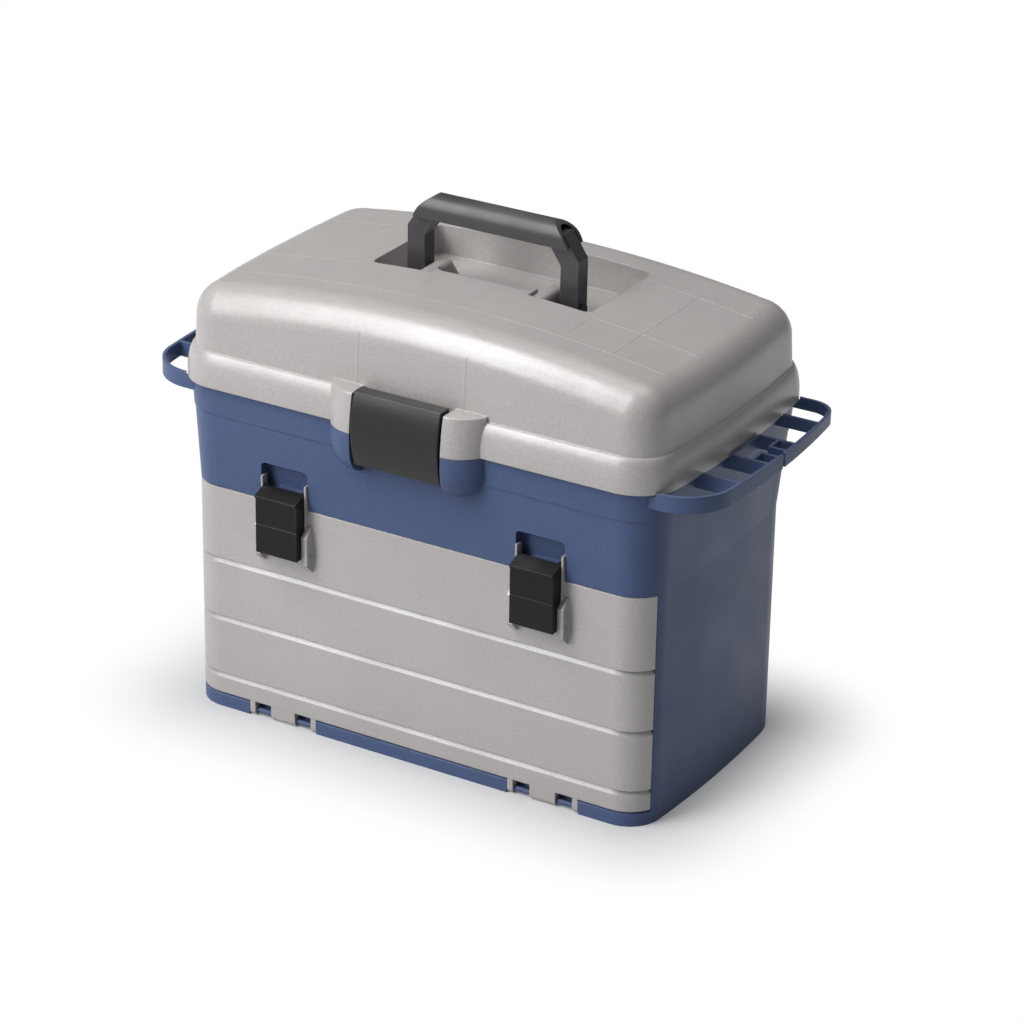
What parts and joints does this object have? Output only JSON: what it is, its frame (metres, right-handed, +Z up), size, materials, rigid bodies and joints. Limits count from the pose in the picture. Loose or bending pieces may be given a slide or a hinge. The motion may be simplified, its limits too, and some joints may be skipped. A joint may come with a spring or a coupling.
{
  "type": "fishing tackle cabinet",
  "caption": "Portable moulded tackle cabinet with a crowned hinged lid, folding handle, side tool racks and a drop-down front over drawers.",
  "frame": {"origin": "centre of the bounding box's bottom face, on the floor", "axes": "+X to the right along the width, +Y to the back, +Z up; the front panel and the latches face -Y"},
  "size_m": [0.507, 0.2764, 0.4239],
  "materials": {
    "blue_plastic": "fine moulded grain",
    "grey_plastic": "fine moulded grain",
    "black_plastic": "satin",
    "tray_plastic": "satin",
    "divider_plastic": "smooth",
    "pin_steel": "drawn wire"
  },
  "bodies": {
    "cabinet": {"cabinet_shell": "blue_plastic", "tool_rack_left": "blue_plastic", "tool_rack_right": "blue_plastic", "runner_frame_left": "blue_plastic", "runner_frame_right": "blue_plastic", "lid_hinge_pin_left": "pin_steel", "lid_hinge_pin_right": "pin_steel"},
    "lid": {"lid_shell": "grey_plastic", "lid_latch_pin": "pin_steel", "handle_pivot_left": "black_plastic", "handle_pivot_right": "black_plastic"},
    "handle": {"carry_handle": "black_plastic"},
    "main_latch": {"lid_latch": "black_plastic"},
    "panel": {"front_panel": "grey_plastic", "panel_latch_pin_left": "pin_steel", "panel_latch_pin_right": "pin_steel"},
    "latch_left": {"panel_latch_left": "black_plastic"},
    "latch_right": {"panel_latch_right": "black_plastic"},
    "tray_1": {"drawer_1": "tray_plastic", "dividers_1": "divider_plastic"},
    "tray_2": {"drawer_2": "tray_plastic", "dividers_2": "divider_plastic"},
    "tray_3": {"drawer_3": "tray_plastic", "dividers_3": "divider_plastic"},
    "tray_4": {"drawer_4": "tray_plastic", "dividers_4": "divider_plastic"}
  },
  "joints": [
    {"name": "lid_hinge", "type": "hinge", "parent": "cabinet", "child": "lid", "pos_m": [0, 0.1332, 0.2725], "axis": [-1, 0, 0], "range_deg": [0, 100]},
    {"name": "handle_pivot", "type": "hinge", "parent": "lid", "child": "handle", "pos_m": [0, 0.0084, 0.356], "axis": [-1, 0, 0], "range_deg": [0, 90]},
    {"name": "main_latch_pivot", "type": "hinge", "parent": "lid", "child": "main_latch", "pos_m": [0, -0.1256, 0.306], "axis": [-1, 0, 0], "range_deg": [0, 110]},
    {"name": "panel_hinge", "type": "hinge", "parent": "cabinet", "child": "panel", "pos_m": [0, -0.1081, 0.004], "axis": [1, 0, 0], "range_deg": [0, 84]},
    {"name": "latch_left_pivot", "type": "hinge", "parent": "panel", "child": "latch_left", "pos_m": [-0.1143, -0.1161, 0.1571], "axis": [1, 0, 0], "range_deg": [0, 85]},
    {"name": "latch_right_pivot", "type": "hinge", "parent": "panel", "child": "latch_right", "pos_m": [0.1143, -0.1161, 0.1571], "axis": [1, 0, 0], "range_deg": [0, 85]},
    {"name": "drawer_1_slide", "type": "slide", "parent": "cabinet", "child": "tray_1", "axis": [0, -1, 0], "range_m": [0, 0.1764]},
    {"name": "drawer_2_slide", "type": "slide", "parent": "cabinet", "child": "tray_2", "axis": [0, -1, 0], "range_m": [0, 0.1398]},
    {"name": "drawer_3_slide", "type": "slide", "parent": "cabinet", "child": "tray_3", "axis": [0, -1, 0], "range_m": [0, 0.0958]},
    {"name": "drawer_4_slide", "type": "slide", "parent": "cabinet", "child": "tray_4", "axis": [0, -1, 0], "range_m": [0, 0.0445]}
  ],
  "couplings": [
    {"joint": "drawer_1_slide", "follows": "panel_hinge", "m_per_rad": 0.12},
    {"joint": "drawer_2_slide", "follows": "panel_hinge", "m_per_rad": 0.095},
    {"joint": "drawer_3_slide", "follows": "panel_hinge", "m_per_rad": 0.065},
    {"joint": "drawer_4_slide", "follows": "panel_hinge", "m_per_rad": 0.03}
  ]
}
